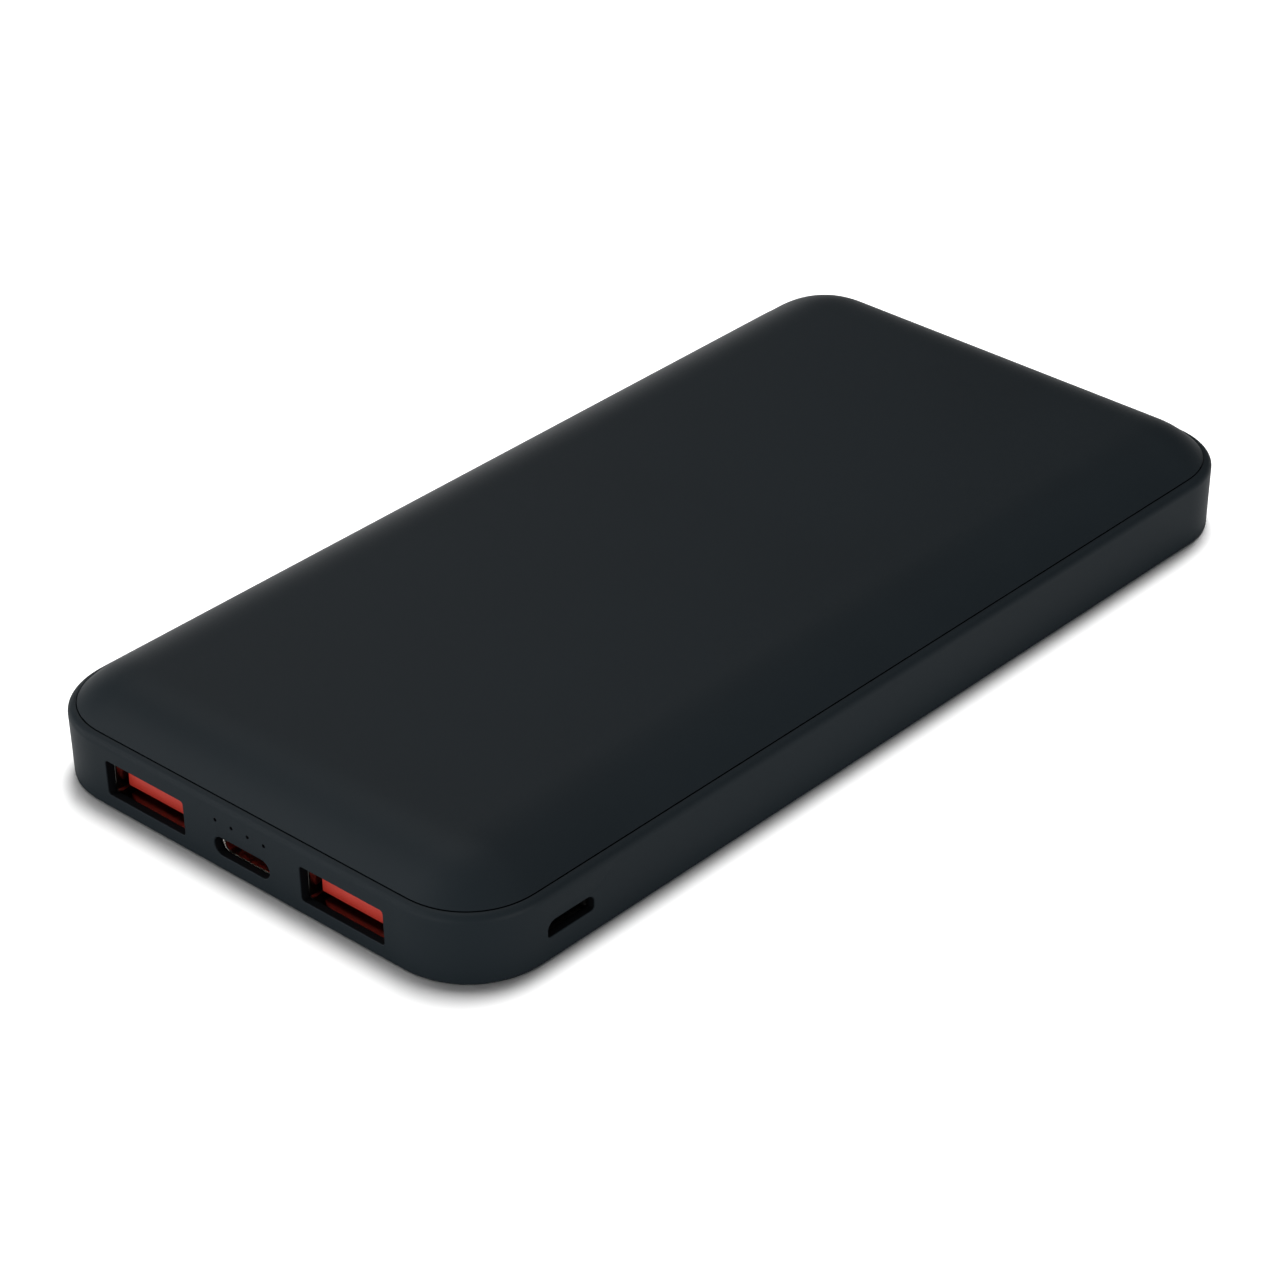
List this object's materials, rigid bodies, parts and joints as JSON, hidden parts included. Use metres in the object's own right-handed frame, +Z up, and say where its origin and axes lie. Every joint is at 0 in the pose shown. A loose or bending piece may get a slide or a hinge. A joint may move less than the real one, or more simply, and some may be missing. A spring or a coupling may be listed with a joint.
{
  "type": "power bank",
  "caption": "Slim pocket power bank with a domed clip-in cover, rounded lower shell, USB-A sockets, a USB-C and a micro-USB socket, charge lights, a side key and its full internals.",
  "frame": {"origin": "centre of the flat underside", "axes": "+Z up through the domed cover, +Y along the length away from the port end, +X towards the micro-USB side"},
  "size_m": [0.0716, 0.1416, 0.0134],
  "materials": {
    "case_black": "fine satin texture",
    "cover_black": "soft-touch satin",
    "key_black": "satin",
    "port_steel": "nickel plated",
    "port_orange": "moulded",
    "black_insulator": "moulded",
    "switch_steel": "stamped",
    "contact_gold": "gold flash plated",
    "board_green": "solder mask",
    "screw_steel": "zinc plated",
    "led_white": "phosphor lens",
    "guide_clear": "frosted clear moulding",
    "ferrite": "pressed powder",
    "chip_black": "moulded epoxy",
    "ceramic_tan": "fired ceramic",
    "cell_pouch": "laminated foil",
    "tab_aluminium": "rolled",
    "tab_nickel": "rolled",
    "amber_tape": "polyimide film",
    "adhesive_white": "foam tape",
    "foam_grey": "closed-cell foam",
    "wire_yellow": "insulated"
  },
  "bodies": {
    "housing": {"battery_cell": "cell_pouch", "battery_tab_negative": "tab_nickel", "battery_tab_positive": "tab_aluminium", "board_screw_1": "screw_steel", "board_screw_2": "screw_steel", "board_screw_3": "screw_steel", "board_screw_4": "screw_steel", "boost_inductor": "ferrite", "bottom_shell": "case_black", "cell_adhesive_1": "adhesive_white", "cell_adhesive_2": "adhesive_white", "cell_foam_pad": "foam_grey", "ceramic_capacitor_1": "ceramic_tan", "ceramic_capacitor_2": "ceramic_tan", "ceramic_capacitor_3": "ceramic_tan", "ceramic_capacitor_4": "ceramic_tan", "charge_light_1": "led_white", "charge_light_2": "led_white", "charge_light_3": "led_white", "charge_light_4": "led_white", "end_foam_block": "foam_grey", "light_guide": "guide_clear", "main_board": "board_green", "micro_usb_shell": "port_steel", "micro_usb_tongue": "black_insulator", "output_mosfet_1": "chip_black", "output_mosfet_2": "chip_black", "power_ic": "chip_black", "protection_ic": "chip_black", "sense_resistor": "chip_black", "switch_body": "black_insulator", "switch_plate": "switch_steel", "terrace_tape": "amber_tape", "thermistor": "chip_black", "thermistor_lead": "wire_yellow", "top_cover": "cover_black", "usb_a_1_contact_1": "contact_gold", "usb_a_1_contact_2": "contact_gold", "usb_a_1_contact_3": "contact_gold", "usb_a_1_contact_4": "contact_gold", "usb_a_1_shell": "port_steel", "usb_a_1_tongue": "port_orange", "usb_a_2_contact_1": "contact_gold", "usb_a_2_contact_2": "contact_gold", "usb_a_2_contact_3": "contact_gold", "usb_a_2_contact_4": "contact_gold", "usb_a_2_shell": "port_steel", "usb_a_2_tongue": "port_orange", "usb_c_shell": "port_steel", "usb_c_tongue": "port_orange"},
    "key": {"power_key": "key_black"},
    "plunger": {"switch_plunger": "black_insulator"}
  },
  "joints": [
    {"name": "power_key_press", "type": "slide", "parent": "housing", "child": "key", "axis": [1, 0, 0], "range_m": [0, 0.00035], "stiffness_N_per_m": 1500, "springref_m": -0.0004},
    {"name": "switch_plunger_travel", "type": "slide", "parent": "housing", "child": "plunger", "axis": [1, 0, 0], "range_m": [0, 0.00035]}
  ],
  "couplings": [
    {"joint": "switch_plunger_travel", "follows": "power_key_press", "ratio": 1}
  ]
}
